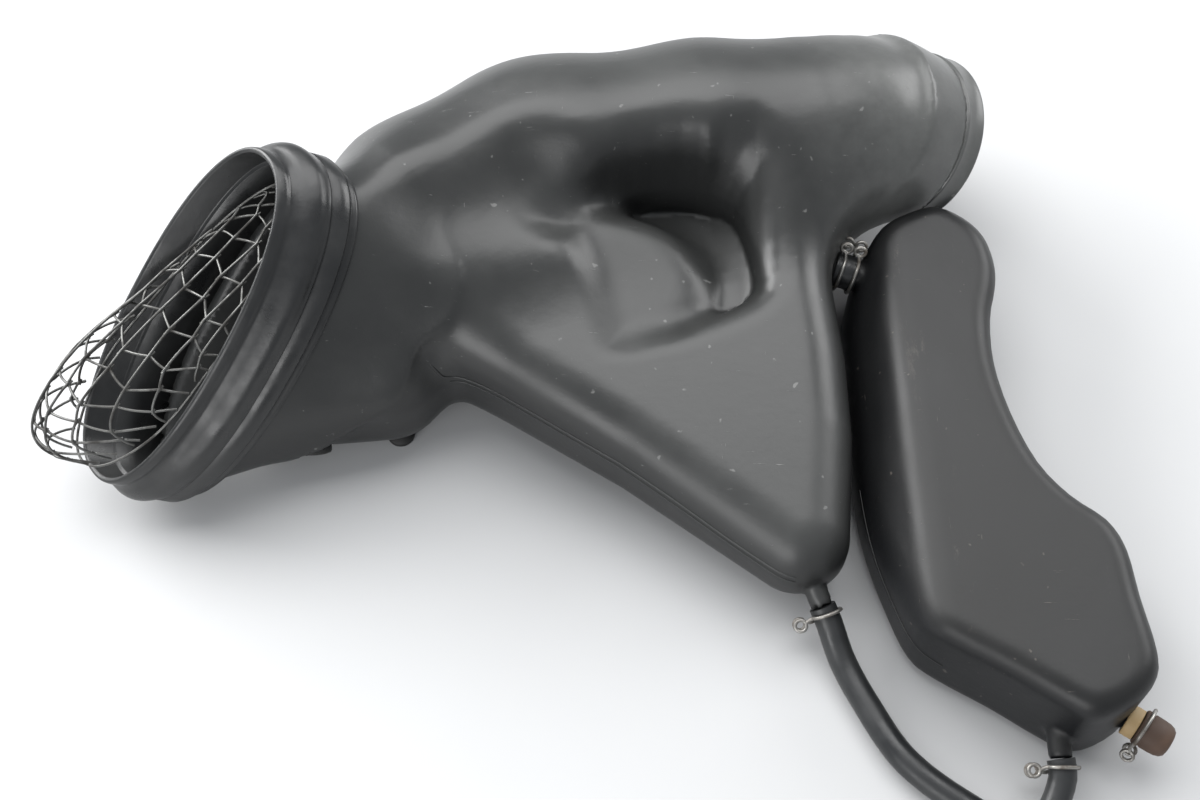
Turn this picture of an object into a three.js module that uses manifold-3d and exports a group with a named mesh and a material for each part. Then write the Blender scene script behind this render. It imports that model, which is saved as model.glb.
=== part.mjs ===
// Ram-air intake of a motorcycle, lying on its side as it comes off the frame: a blow-moulded
// duct with an oval rubber seal and a domed wire screen in its mouth, and a blow-moulded
// side tank joined to it by a link hose and a drain hose.
// Millimetres, +Z up, +X towards the tank, +Y away from the drain hose.
import * as THREE from 'three';
import { mergeVertices } from 'three/addons/utils/BufferGeometryUtils.js';
import Module from 'manifold-3d';

const wasm = await Module();
wasm.setup();

// ---------------------------------------------------------------- driving dimensions
const frameShift = new THREE.Vector3(5.1, -6.0, 0);    // model frame to the frame of the part

const ductWall = 4;                  // wall of the blow-moulded duct
const tankWall = 4;                  // wall of the blow-moulded tank
const gap = 0.3;                     // clearance between pieces that touch

// Inlet: an oval mouth cut at a slant across the axis of the neck.
const inletCentre = new THREE.Vector3(-171.7, 16.4, 73.2);
const inletNormal = new THREE.Vector3(-0.60, -0.28, 0.75).normalize();   // out of the mouth
const inletAxis = new THREE.Vector3(0.852, 0.086, -0.517).normalize();   // into the neck
const inletLong = new THREE.Vector3(0.518, 0.579, 0.630);                // long axis of the oval
inletLong.addScaledVector(inletNormal, -inletLong.dot(inletNormal)).normalize();
const inletShort = inletNormal.clone().cross(inletLong);
const inletHalfLong = 78;            // half length of the outer lip
const inletHalfShort = 34;           // half width of the outer lip
const ovalPower = 2.25;              // 2 is an ellipse, more is squarer
const sealLength = 34;
const spoutStart = 12;               // depth at which the duct's own neck begins

// Outlet: a round collar that points right, away and down.
const outletCentre = new THREE.Vector3(147, 135, 39);
const outletNormal = new THREE.Vector3(0.80, 0.17, -0.57).normalize();
const outletRadius = 38;
const outletBore = 34.5;
const outletBead = 11;               // distance of the bead line from the rim

// Small ports: a base point near the wall, the way out, and the lengths along it.
const ductDrain = { base: new THREE.Vector3(86, -79, 23), way: new THREE.Vector3(0.38, -0.80, -0.47) };
const tankDrain = { base: new THREE.Vector3(177, -141, 19), way: new THREE.Vector3(0.05, -0.93, -0.30) };
const capDrain = { base: new THREE.Vector3(200, -131, 20), way: new THREE.Vector3(0.82, -0.57, 0.0) };
const linkPort = { base: new THREE.Vector3(88, 70, 38), way: new THREE.Vector3(38, -10, -5) };
for (const port of [ductDrain, tankDrain, capDrain, linkPort]) {
  port.way.normalize();
}
const portRadius = 4.6;
const portBore = 2.5;
const linkRadius = 6;
const linkBore = 3.4;
const linkHoseRadius = 7.7;
const linkDuctEnd = 19.5;             // end of the duct's link spigot along the link axis
const linkTankEnd = 21.5;             // end of the tank's link spigot along the link axis
const drainHoseRadius = 5.5;
const wireRadius = 0.75;             // spring wire of the hose clips

// ---------------------------------------------------------------- smooth blends of distances
function blendUnion(a, b, width) {
  const h = Math.max(width - Math.abs(a - b), 0) / width;
  return Math.min(a, b) - h * h * width * 0.25;
}

function blendCommon(a, b, width) {
  return -blendUnion(-a, -b, width);
}

function outlineDistance(x, y, points) {
  let nearest = Infinity;
  let inside = false;
  points.forEach(([ax, ay], index) => {
    const [bx, by] = points[(index + points.length - 1) % points.length];
    const ex = bx - ax;
    const ey = by - ay;
    const wx = x - ax;
    const wy = y - ay;
    const along = THREE.MathUtils.clamp((wx * ex + wy * ey) / (ex * ex + ey * ey), 0, 1);
    nearest = Math.min(nearest, Math.hypot(wx - ex * along, wy - ey * along));
    if ((ay > y) !== (by > y) && x < ax + (ex * wy) / ey) {
      inside = !inside;
    }
  });
  return inside ? -nearest : nearest;
}

function slabDistance(planDistance, z, low, high, round) {
  const qx = planDistance + round;
  const qz = Math.abs(z - (low + high) / 2) - (high - low) / 2 + round;
  return Math.min(Math.max(qx, qz), 0) + Math.hypot(Math.max(qx, 0), Math.max(qz, 0)) - round;
}

function chainDistance(x, y, z, balls, width) {
  let result = Infinity;
  for (let i = 0; i + 1 < balls.length; i += 1) {
    const [ax, ay, az, ar] = balls[i];
    const [bx, by, bz, br] = balls[i + 1];
    const ex = bx - ax;
    const ey = by - ay;
    const ez = bz - az;
    const dot = (x - ax) * ex + (y - ay) * ey + (z - az) * ez;
    const along = THREE.MathUtils.clamp(dot / (ex * ex + ey * ey + ez * ez), 0, 1);
    const reach = Math.hypot(x - ax - ex * along, y - ay - ey * along, z - az - ez * along);
    const distance = reach - ar - (br - ar) * along;
    result = result === Infinity ? distance : blendUnion(result, distance, width);
  }
  return result;
}

// ---------------------------------------------------------------- inlet coordinates
// depth along the neck, and the two distances across it, measured parallel to the mouth.
function inletCoordinates(x, y, z) {
  const rest = new THREE.Vector3(x, y, z).sub(inletCentre);
  const depth = rest.dot(inletNormal) / inletAxis.dot(inletNormal);
  rest.addScaledVector(inletAxis, -depth);
  return [depth, rest.dot(inletLong), rest.dot(inletShort)];
}

function inletPoint(depth, along, across) {
  return inletCentre.clone()
    .addScaledVector(inletAxis, depth)
    .addScaledVector(inletLong, along)
    .addScaledVector(inletShort, across);
}

function ovalDistance(along, across, halfLong, halfShort) {
  const sum = Math.abs(along / halfLong) ** ovalPower + Math.abs(across / halfShort) ** ovalPower;
  return (sum ** (1 / ovalPower) - 1) * halfShort * 0.9;
}

// ---------------------------------------------------------------- duct body
const lobeOutline = [
  [80, -61], [83, -20], [82, 10], [76, 66], [60, 112],
  [-40, 112], [-78, 76], [-64, 36], [-30, 16], [20, -16],
];
const lobeRound = 21;
const tubeBalls = [
  [-110, 46, 47, 39], [-74, 78, 52, 45], [-20, 105, 53, 47], [45, 117, 54, 46], [98, 124, 54, 42],
  [119, 129, 57, 38],
];
const bellyOutline = [[-134, 14], [-92, 18], [-80, 46], [-126, 52]];
const bellyRound = 27;
const pocketOutline = [
  [-20, 64], [-6, 79], [13, 88], [34, 91], [49, 88], [59, 80], [64, 66], [67, 50],
  [66, 39], [56, 30], [37, 20], [20, 15], [5, 13], [1, 27], [-4, 44], [-12, 57],
];
const platformOutline = [
  [-40, 80], [-10, 81], [12, 78], [29, 72], [40, 63], [47, 52], [49, 42], [46, 28], [30, 6], [0, -4], [-40, 20],
];
const pocketFloor = 46;
const platformPoint = new THREE.Vector3(-10, 60, 71);       // top of the raised platform
const platformTilt = new THREE.Vector3(0.19, -0.12, 1).normalize();

// Duct before its pocket is cut.
function bodyDistance(x, y, z) {
  const lobeTop = Math.min(50 + 0.155 * (y + 62) + 0.03 * (82 - x), 82);
  const lobe = slabDistance(outlineDistance(x, y, lobeOutline) - lobeRound, z, 5, lobeTop, 20);
  let body = blendUnion(lobe, chainDistance(x, y, z, tubeBalls, 10), 30);
  const [depth, along, across] = inletCoordinates(x, y, z);
  const taper = THREE.MathUtils.clamp(depth - sealLength + 4, 0, 60);
  const neckOval = ovalDistance(along - 0.35 * taper, across, inletHalfLong - 2 - 0.4 * taper, inletHalfShort - 1.5);
  body = blendUnion(body, Math.max(neckOval, sealLength - 10 - depth, depth - 66), 18);
  const belly = slabDistance(outlineDistance(x, y, bellyOutline) - bellyRound, z, 0, 56, 22);
  body = blendUnion(body, belly, 12);
  const fromRim = new THREE.Vector3(x, y, z).sub(outletCentre);
  const outward = fromRim.dot(outletNormal);
  const radius = fromRim.addScaledVector(outletNormal, -outward).length();
  body = blendUnion(body, Math.max(radius - outletRadius + 1.8, outward, -outward - 32), 12);
  body = blendCommon(body, 0.4 - z, 6);
  const valley = chainDistance(x, y, z, [[-30, 66, 99, 19], [-58, 51, 99, 18]], 1);
  return blendCommon(body, -valley, 8);
}

function cavityDistance(x, y, z) {
  return bodyDistance(x, y, z) + ductWall;
}

// ---------------------------------------------------------------- tank body
const tankOutline = [
  [138, 90], [149, 92], [160, 86], [168, 76], [171, 62], [170, 50], [166, 34], [165, 12], [169, -12], [177, -35],
  [188, -50], [201, -61], [207, -74], [209, -94], [212, -118], [208, -130], [197, -139], [184, -143],
  [172, -137], [154, -125], [134, -113], [124, -104], [117, -86], [110, -60], [107, -34], [106, 0],
  [107, 44], [113, 68], [124, 82],
];
const tankHeight = 52;
const bevelNormal = new THREE.Vector3(-0.62, -0.10, 0.78).normalize();
const bevelPoint = new THREE.Vector3(132, 0, tankHeight);

function tankDistance(x, y, z) {
  const slab = slabDistance(outlineDistance(x, y, tankOutline), z, 0, tankHeight, 11);
  const bevel = new THREE.Vector3(x, y, z).sub(bevelPoint).dot(bevelNormal);
  return blendCommon(slab, bevel, 14);
}

// ---------------------------------------------------------------- solids from distances
// Closed mesh of the surface where distance(x, y, z) is zero, one vertex in each grid cell
// that the surface crosses, moved onto the surface along the gradient.
function surfaceOf(distance, low, high, cell) {
  const size = low.map((value, axis) => Math.ceil((high[axis] - value) / cell) + 1);
  const step = [1, size[0], size[0] * size[1]];
  const values = new Float64Array(size[0] * size[1] * size[2]);
  for (let index = 0; index < values.length; index += 1) {
    const i = index % size[0];
    const j = Math.floor(index / step[1]) % size[1];
    const k = Math.floor(index / step[2]);
    values[index] = distance(low[0] + i * cell, low[1] + j * cell, low[2] + k * cell);
  }
  const corners = [0, 1, 2, 3, 4, 5, 6, 7].map((n) => [n & 1, (n >> 1) & 1, (n >> 2) & 1]);
  const vertexOf = new Int32Array(values.length).fill(-1);
  const positions = [];
  for (let k = 0; k + 1 < size[2]; k += 1) {
    for (let j = 0; j + 1 < size[1]; j += 1) {
      for (let i = 0; i + 1 < size[0]; i += 1) {
        const point = cellPoint(i, j, k);
        if (point) {
          vertexOf[i + j * step[1] + k * step[2]] = positions.length / 3;
          positions.push(...ontoSurface(distance, point, cell));
        }
      }
    }
  }

  function cellPoint(i, j, k) {
    const base = i + j * step[1] + k * step[2];
    const sum = [0, 0, 0];
    let crossings = 0;
    for (const a of corners) {
      for (let axis = 0; axis < 3; axis += 1) {
        if (a[axis] === 0) {
          const first = base + a[0] + a[1] * step[1] + a[2] * step[2];
          const va = values[first];
          const vb = values[first + step[axis]];
          if ((va < 0) !== (vb < 0)) {
            const share = va / (va - vb);
            sum.forEach((_, n) => {
              sum[n] += a[n] + (n === axis ? share : 0);
            });
            crossings += 1;
          }
        }
      }
    }
    if (crossings === 0) {
      return null;
    }
    return [i, j, k].map((n, axis) => low[axis] + (n + sum[axis] / crossings) * cell);
  }

  const indices = [];
  for (let index = 0; index < values.length; index += 1) {
    for (let axis = 0; axis < 3; axis += 1) {
      const next = index + step[axis];
      if (next < values.length && (values[index] < 0) !== (values[next] < 0)) {
        const u = step[(axis + 1) % 3];
        const v = step[(axis + 2) % 3];
        const ring = [index, index - u, index - u - v, index - v].map((n) => vertexOf[n]);
        if (values[index] >= 0) {
          ring.reverse();
        }
        pushQuad(indices, positions, ring);
      }
    }
  }
  const geometry = new THREE.BufferGeometry();
  geometry.setAttribute('position', new THREE.Float32BufferAttribute(positions, 3));
  geometry.setIndex(indices);
  return geometry;
}

function ontoSurface(distance, point, cell) {
  const [x, y, z] = point;
  const e = 0.5;
  const gradient = new THREE.Vector3(
    distance(x + e, y, z) - distance(x - e, y, z),
    distance(x, y + e, z) - distance(x, y - e, z),
    distance(x, y, z + e) - distance(x, y, z - e),
  ).divideScalar(2 * e);
  const move = -distance(x, y, z) / Math.max(gradient.lengthSq(), 0.3);
  gradient.multiplyScalar(THREE.MathUtils.clamp(move, -0.4 * cell, 0.4 * cell));
  return [x + gradient.x, y + gradient.y, z + gradient.z];
}

function pushQuad(indices, positions, ring) {
  const span = (a, b) => Math.hypot(...[0, 1, 2].map((n) => positions[3 * a + n] - positions[3 * b + n]));
  const [a, b, c, d] = ring;
  if (span(a, c) <= span(b, d)) {
    indices.push(a, b, c, a, c, d);
  } else {
    indices.push(b, c, d, b, d, a);
  }
}

// ---------------------------------------------------------------- solids and booleans
function signedVolume(geometry) {
  const position = geometry.attributes.position;
  const index = geometry.index.array;
  const [a, b, c] = [new THREE.Vector3(), new THREE.Vector3(), new THREE.Vector3()];
  let volume = 0;
  for (let i = 0; i < index.length; i += 3) {
    a.fromBufferAttribute(position, index[i]);
    b.fromBufferAttribute(position, index[i + 1]);
    c.fromBufferAttribute(position, index[i + 2]);
    volume += a.dot(b.cross(c)) / 6;
  }
  return volume;
}

function solidOf(source) {
  const bare = source.clone();
  bare.deleteAttribute('normal');
  bare.deleteAttribute('uv');
  const geometry = mergeVertices(bare, 1e-4);
  const vertProperties = new Float32Array(geometry.attributes.position.array);
  const triVerts = dropFlat(Array.from(geometry.index.array));
  geometry.setIndex(triVerts);
  if (signedVolume(geometry) < 0) {
    for (let i = 0; i < triVerts.length; i += 3) {
      [triVerts[i], triVerts[i + 1]] = [triVerts[i + 1], triVerts[i]];
    }
  }
  const mesh = new wasm.Mesh({ numProp: 3, vertProperties, triVerts: new Uint32Array(triVerts) });
  return new wasm.Manifold(mesh);
}

function dropFlat(index) {
  const kept = [];
  for (let i = 0; i < index.length; i += 3) {
    const [a, b, c] = index.slice(i, i + 3);
    if (a !== b && b !== c && c !== a) {
      kept.push(a, b, c);
    }
  }
  return kept;
}

function geometryOf(body) {
  const mesh = body.getMesh();
  const positions = [];
  const tidy = (value) => Math.round(value * 50) / 50;
  for (let i = 0; i < mesh.vertProperties.length; i += mesh.numProp) {
    positions.push(...Array.from(mesh.vertProperties.slice(i, i + 3), tidy));
  }
  const geometry = new THREE.BufferGeometry();
  geometry.setAttribute('position', new THREE.Float32BufferAttribute(positions, 3));
  geometry.setIndex(Array.from(mesh.triVerts));
  return geometry;
}

// ---------------------------------------------------------------- simple placed shapes
function placed(geometry, point, way) {
  const up = new THREE.Vector3(0, 0, 1);
  const turn = new THREE.Quaternion().setFromUnitVectors(up, way.clone().normalize());
  return geometry.applyMatrix4(new THREE.Matrix4().compose(point, turn, new THREE.Vector3(1, 1, 1)));
}

function rod(point, way, radius, from, to, sides) {
  const shape = new THREE.CylinderGeometry(radius, radius, to - from, sides);
  return placed(shape.rotateX(Math.PI / 2).translate(0, 0, (from + to) / 2), point, way);
}

// Turned piece about the way: profile points are [radius, distance along the way].
function turned(profile, point, way, sides) {
  const points = profile.map(([radius, along]) => new THREE.Vector2(radius, along));
  return placed(new THREE.LatheGeometry(points, sides).rotateX(Math.PI / 2), point, way);
}

// Solid tube with flat ends along a curve.
function tubeAlong(curve, radius, sides, steps) {
  const section = new THREE.Shape();
  for (let i = 0; i < sides; i += 1) {
    const angle = (i / sides) * Math.PI * 2;
    const [x, y] = [radius * Math.cos(angle), radius * Math.sin(angle)];
    if (i === 0) {
      section.moveTo(x, y);
    } else {
      section.lineTo(x, y);
    }
  }
  section.closePath();
  return new THREE.ExtrudeGeometry(section, { extrudePath: curve, steps, bevelEnabled: false });
}

// Big block that takes away everything beyond a plane.
function blockBeyond(point, way) {
  return placed(new THREE.BoxGeometry(400, 400, 300).translate(0, 0, 150), point, way);
}

// Oval turned piece on the neck: profile points are [half width across, depth].
function ovalTurned(profile, sides) {
  const points = profile.map(([half, depth]) => new THREE.Vector2(half, depth));
  const geometry = new THREE.LatheGeometry(points, sides);
  const position = geometry.attributes.position;
  for (let i = 0; i < position.count; i += 1) {
    const half = Math.hypot(position.getX(i), position.getZ(i));
    if (half < 1e-6) {
      inletPoint(position.getY(i), 0, 0).toArray(position.array, 3 * i);
    } else {
      const extra = inletHalfLong - inletHalfShort;
      const bend = (share) => Math.sign(share) * Math.abs(share) ** (2 / ovalPower);
      const along = (half + extra) * bend(position.getZ(i) / half);
      const across = half * bend(position.getX(i) / half);
      inletPoint(position.getY(i), along, across).toArray(position.array, 3 * i);
    }
  }
  return geometry;
}

// ---------------------------------------------------------------- duct shell
function smoothPrism(outline, grow, low, high, count) {
  const corners = outline.map(([x, y]) => new THREE.Vector3(x, y, 0));
  const curve = new THREE.CatmullRomCurve3(corners, true, 'centripetal');
  const flat = curve.getSpacedPoints(count).slice(0, count).map((point) => new THREE.Vector2(point.x, point.y));
  const shape = new THREE.Shape(insetOutline(flat, signedArea(flat) > 0 ? -grow : grow));
  const geometry = new THREE.ExtrudeGeometry(shape, { depth: high - low, bevelEnabled: false, steps: 1 });
  return solidOf(geometry.translate(0, 0, low));
}

// The kidney-shaped pocket, a well with a tilted platform standing in it, grown all round
// by a wall where the hollow of the duct has to stay clear of it.
function buildPocket(wall) {
  const top = platformPoint.clone().addScaledVector(platformTilt, -wall);
  const platform = smoothPrism(platformOutline, 2 - wall, 20, 110, 22)
    .subtract(solidOf(blockBeyond(top, platformTilt)));
  return smoothPrism(pocketOutline, 2 + wall, pocketFloor - wall, 120, 30).subtract(platform);
}

// The moulding is one hollow shell. Here it is parted into sections, each short enough
// for a few convex pieces to follow its wall.
const neckDepth = 44;                // parting of the neck, parallel to the mouth
const collarLength = 36;             // parting of the collar, behind the outlet rim
const elbowEnd = -36;                // parting left of the pocket
const shoulderStart = 80;            // parting right of the pocket
const waistHeight = 38;              // parting of the middle into an upper and a lower half

function beyond(body, point, way) {
  const start = point.clone().addScaledVector(way, gap / 2);
  return body.intersect(solidOf(blockBeyond(start, way)));
}

function before(body, point, way) {
  return beyond(body, point, way.clone().negate());
}

function partDuct(shell) {
  const neckPoint = inletPoint(neckDepth, 0, 0);
  const collarPoint = outletCentre.clone().addScaledVector(outletNormal, -collarLength);
  const elbowPoint = new THREE.Vector3(elbowEnd, 0, 0);
  const shoulderPoint = new THREE.Vector3(shoulderStart, 0, 0);
  const waistPoint = new THREE.Vector3(0, 0, waistHeight);
  const [right, up] = [new THREE.Vector3(1, 0, 0), new THREE.Vector3(0, 0, 1)];
  const rest = before(shell, neckPoint, inletNormal);
  const middle = before(beyond(rest, elbowPoint, right), shoulderPoint, right);
  return {
    duct_neck: beyond(shell, neckPoint, inletNormal),
    duct_elbow: before(rest, elbowPoint, right),
    duct_middle_upper: beyond(middle, waistPoint, up),
    duct_middle_lower: before(middle, waistPoint, up),
    duct_shoulder: before(beyond(rest, shoulderPoint, right), collarPoint, outletNormal),
    outlet_collar: beyond(beyond(rest, shoulderPoint, right), collarPoint, outletNormal),
  };
}

function buildDuctShell() {
  const outer = solidOf(surfaceOf(bodyDistance, [-220, -112, -18], [182, 192, 134], 12));
  const inner = solidOf(surfaceOf(cavityDistance, [-216, -108, -14], [182, 192, 134], 15));
  const rimCut = outletCentre.clone().addScaledVector(outletNormal, -9);
  const boreCut = outletCentre.clone().addScaledVector(outletNormal, -22);
  let shell = outer
    .subtract(solidOf(blockBeyond(inletPoint(sealLength + gap, 0, 0), inletNormal)))
    .subtract(solidOf(blockBeyond(rimCut, outletNormal)));
  const cavity = inner
    .subtract(solidOf(blockBeyond(inletPoint(sealLength + 8, 0, 0), inletNormal)))
    .subtract(solidOf(blockBeyond(boreCut, outletNormal)))
    .subtract(buildPocket(ductWall));
  const half = inletHalfShort;
  const spout = [
    [0, spoutStart], [half - 4.6, spoutStart], [half - 4.6, sealLength + 0.8],
    [half - 16, sealLength + 8], [0, sealLength + 8],
  ];
  const bore = [[0, 0], [half - 8, 0], [half - 8, sealLength + 1], [half - 22, sealLength + 14], [0, sealLength + 14]];
  const collar = [
    [0, -20], [outletRadius - 0.6, -20], [outletRadius - 0.6, -outletBead], [outletRadius + 0.4, -outletBead],
    [outletRadius + 0.4, -1], [outletRadius - 0.6, 0], [0, 0],
  ];
  shell = shell
    .subtract(buildPocket(0))
    .add(solidOf(ovalTurned(spout, 36)))
    .add(solidOf(turned(collar, outletCentre, outletNormal, 36)))
    .add(solidOf(rod(ductDrain.base, ductDrain.way, portRadius, -6, 9, 14)))
    .add(solidOf(rod(linkPort.base, linkPort.way, linkRadius, -6, linkDuctEnd, 16)))
    .subtract(cavity)
    .subtract(solidOf(ovalTurned(bore, 36)))
    .subtract(solidOf(rod(outletCentre, outletNormal, outletBore, -26, 5, 36)))
    .subtract(solidOf(rod(ductDrain.base, ductDrain.way, portBore, -22, 10, 10)))
    .subtract(solidOf(rod(linkPort.base, linkPort.way, linkBore, -16, linkDuctEnd + 1, 12)))
    .subtract(solidOf(rod(grommetSeat, grommetWay, 9.3, -2.4, 12, 20)))
    .subtract(solidOf(rod(footSeat, new THREE.Vector3(0, 0, 1), 6.3, -6, footHeight + gap, 16)));
  return partDuct(shell);
}

// ---------------------------------------------------------------- tank shell
function buildTankShell() {
  const outer = solidOf(surfaceOf(tankDistance, [92, -160, -12], [222, 106, 66], 10));
  const hollow = (x, y, z) => tankDistance(x, y, z) + tankWall;
  const inner = solidOf(surfaceOf(hollow, [92, -160, -12], [222, 106, 66], 14));
  const shell = outer
    .add(solidOf(rod(tankDrain.base, tankDrain.way, portRadius, -6, 8, 14)))
    .add(solidOf(rod(capDrain.base, capDrain.way, 4, -6, 17, 12)))
    .add(solidOf(rod(linkPort.base, linkPort.way, linkRadius, linkTankEnd, 40, 16)))
    .subtract(inner)
    .subtract(solidOf(rod(tankDrain.base, tankDrain.way, portBore, -20, 9, 10)))
    .subtract(solidOf(rod(capDrain.base, capDrain.way, 2.2, -20, 18, 10)))
    .subtract(solidOf(rod(linkPort.base, linkPort.way, linkBore, linkTankEnd - 1, 56, 12)));
  return geometryOf(shell);
}

// ---------------------------------------------------------------- inlet seal and screen
function buildSealRing() {
  const half = inletHalfShort;
  const profile = [
    [half - 2.5, 0], [half, 0], [half + 0.6, 3], [half + 0.2, 6], [half + 3, 9.5], [half + 5, 13.5], [half + 4.4, 18],
    [half + 3.8, 20], [half + 3.4, 28], [half + 1.5, 29], [half + 1.5, sealLength], [half - 4.3, sealLength],
    [half - 4.3, spoutStart - gap], [half - 2.5, spoutStart - gap], [half - 2.5, 0],
  ];
  return ovalTurned(profile, 38);
}

// The screen is a dome whose rim sits deeper at the far end of the oval, inside the bore of
// the neck, and lies in the wider lip of the seal at the near end.
const screenBore = [68.4, 25.4];     // half length and half width inside the bore
const screenLip = [72.6, 30.0];      // half length and half width inside the lip
const screenFlatLong = 92;           // half length of the screen laid flat
const screenFlatShort = 54;          // half width of the screen laid flat
const strand = 1.3;
const rowPitch = 11.5;
const columnPitch = 15;

// Point of the domed screen from the place (p, q) on the flat sheet.
function screenPoint(p, q) {
  const reach = Math.min(Math.hypot(p / screenFlatLong, q / screenFlatShort), 1);
  const angle = Math.atan2(q / screenFlatShort, p / screenFlatLong);
  const spread = Math.sin((reach * Math.PI) / 2);
  const near = THREE.MathUtils.smoothstep(-1.6 * Math.cos(angle), 0, 1);
  const halfLong = THREE.MathUtils.lerp(screenBore[0], screenLip[0], near);
  const halfWide = THREE.MathUtils.lerp(screenBore[1], screenLip[1], near);
  const along = halfLong * spread * Math.cos(angle);
  const across = halfWide * spread * Math.sin(angle);
  const height = (15.5 - 0.42 * along) * Math.cos((reach * Math.PI) / 2) ** 0.5;
  return inletPoint(8 + 0.12 * along - height, along, across);
}

function screenNormal(p, q) {
  const shrink = 0.99;
  const [a, b] = [p * shrink, q * shrink];
  const du = screenPoint(a + 0.5, b).sub(screenPoint(a - 0.5, b));
  const dv = screenPoint(a, b + 0.5).sub(screenPoint(a, b - 0.5));
  return du.cross(dv).normalize();
}

function insetOutline(corners, inset) {
  return corners.map((corner, i) => {
    const before = corners[(i + corners.length - 1) % corners.length];
    const after = corners[(i + 1) % corners.length];
    const first = corner.clone().sub(before).normalize();
    const second = after.clone().sub(corner).normalize();
    const turn = first.x * second.y - first.y * second.x;
    const move = inset / Math.max(Math.abs(turn), 0.2) * Math.sign(turn || 1);
    return corner.clone().addScaledVector(second, move).addScaledVector(first, -move);
  });
}

function signedArea(corners) {
  return THREE.ShapeUtils.area(corners);
}

// Corners of an oval laid flat, counter-clockwise.
function ovalCorners(halfLong, halfWide, count) {
  const corners = [];
  for (let i = 0; i < count; i += 1) {
    const angle = (i / count) * Math.PI * 2;
    corners.push(new THREE.Vector2(halfLong * Math.cos(angle), halfWide * Math.sin(angle)));
  }
  return corners;
}

// The part of a convex outline that lies inside another convex outline.
function clipped(corners, frame) {
  let kept = corners;
  frame.forEach((start, i) => {
    const side = frame[(i + 1) % frame.length].clone().sub(start);
    const inside = (point) => side.cross(point.clone().sub(start));
    const next = [];
    kept.forEach((point, j) => {
      const after = kept[(j + 1) % kept.length];
      const [here, there] = [inside(point), inside(after)];
      if (here >= 0) {
        next.push(point);
      }
      if ((here >= 0) !== (there >= 0)) {
        next.push(point.clone().lerp(after, here / (here - there)));
      }
    });
    kept = next;
  });
  return kept;
}

function screenHoles() {
  const node = (row, column) => {
    const zigzag = (row + column) % 2 === 0 ? 1.3 : -1.3;
    return new THREE.Vector2(rowPitch * row + zigzag, columnPitch * column + 4.5 * row);
  };
  const inside = ovalCorners(screenFlatLong - strand, screenFlatShort - strand, 48);
  const smallestHole = 30;
  const holes = [];
  for (let row = -9; row < 9; row += 1) {
    for (let column = -9; column < 9; column += 1) {
      const corners = [node(row, column), node(row + 1, column), node(row + 1, column + 1), node(row, column + 1)];
      const hole = clipped(insetOutline(corners, strand / 2), inside);
      if (hole.length > 2 && signedArea(hole) > smallestHole) {
        holes.push(hole);
      }
    }
  }
  return holes;
}

function buildScreen() {
  const sheet = new THREE.Shape(ovalCorners(screenFlatLong, screenFlatShort, 48));
  for (const hole of screenHoles()) {
    sheet.holes.push(new THREE.Path(hole));
  }
  const geometry = new THREE.ExtrudeGeometry(sheet, { depth: strand, bevelEnabled: false, steps: 1 });
  const position = geometry.attributes.position;
  for (let i = 0; i < position.count; i += 1) {
    const [p, q, lift] = [position.getX(i), position.getY(i), position.getZ(i)];
    const point = screenPoint(p, q).addScaledVector(screenNormal(p, q), lift);
    point.toArray(position.array, 3 * i);
  }
  return geometry;
}

// ---------------------------------------------------------------- small rubber pieces
const grommetSeat = new THREE.Vector3(-124, -11, 12);
const grommetWay = new THREE.Vector3(0.0, -0.78, -0.62).normalize();
const footSeat = new THREE.Vector3(-87, 2, 0);
const footHeight = 4.2;

function buildGrommet() {
  const profile = [[3.4, -2.1], [9, -2.1], [9, 0.8], [7.6, 1.5], [3.4, 1.5], [3.4, -2.1]];
  return turned(profile, grommetSeat, grommetWay, 20);
}

function buildFoot() {
  const profile = [[0, 0], [5.4, 0], [6, 1], [6, footHeight], [0, footHeight]];
  return turned(profile, footSeat, new THREE.Vector3(0, 0, 1), 20);
}

// ---------------------------------------------------------------- hoses, cap and clips
function buildLinkHose() {
  const start = 15.2;
  const end = 25.6;
  const [inner, outer] = [linkRadius + gap, linkHoseRadius];
  const profile = [[inner, start], [outer, start], [outer, end], [inner, end], [inner, start]];
  return turned(profile, linkPort.base, linkPort.way, 16);
}

function buildDrainHose() {
  const start = ductDrain.base.clone().addScaledVector(ductDrain.way, 9 + gap);
  const end = tankDrain.base.clone().addScaledVector(tankDrain.way, 8 + gap);
  const route = new THREE.CatmullRomCurve3([
    start,
    start.clone().addScaledVector(ductDrain.way, 7),
    new THREE.Vector3(97.5, -106, 8.6),
    new THREE.Vector3(106, -124, 7.2),
    new THREE.Vector3(119, -146, 7.2),
    new THREE.Vector3(139, -163, 7.2),
    new THREE.Vector3(156, -172, 7.2),
    new THREE.Vector3(170, -170, 8.2),
    end.clone().addScaledVector(tankDrain.way, 7),
    end,
  ], false, 'centripetal');
  return tubeAlong(route, drainHoseRadius, 10, 34);
}

function buildDrainSleeve() {
  const profile = [[4.3, 5], [6.4, 5], [6.4, 10], [4.3, 10], [4.3, 5]];
  return turned(profile, capDrain.base, capDrain.way, 16);
}

function buildDrainCap() {
  const profile = [
    [4.3, 10 + gap], [7, 10 + gap], [7.4, 12], [7, 20], [5.5, 23], [0, 23.5], [0, 17.6], [4.3, 17.6], [4.3, 10 + gap],
  ];
  return turned(profile, capDrain.base, capDrain.way, 16);
}

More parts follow.
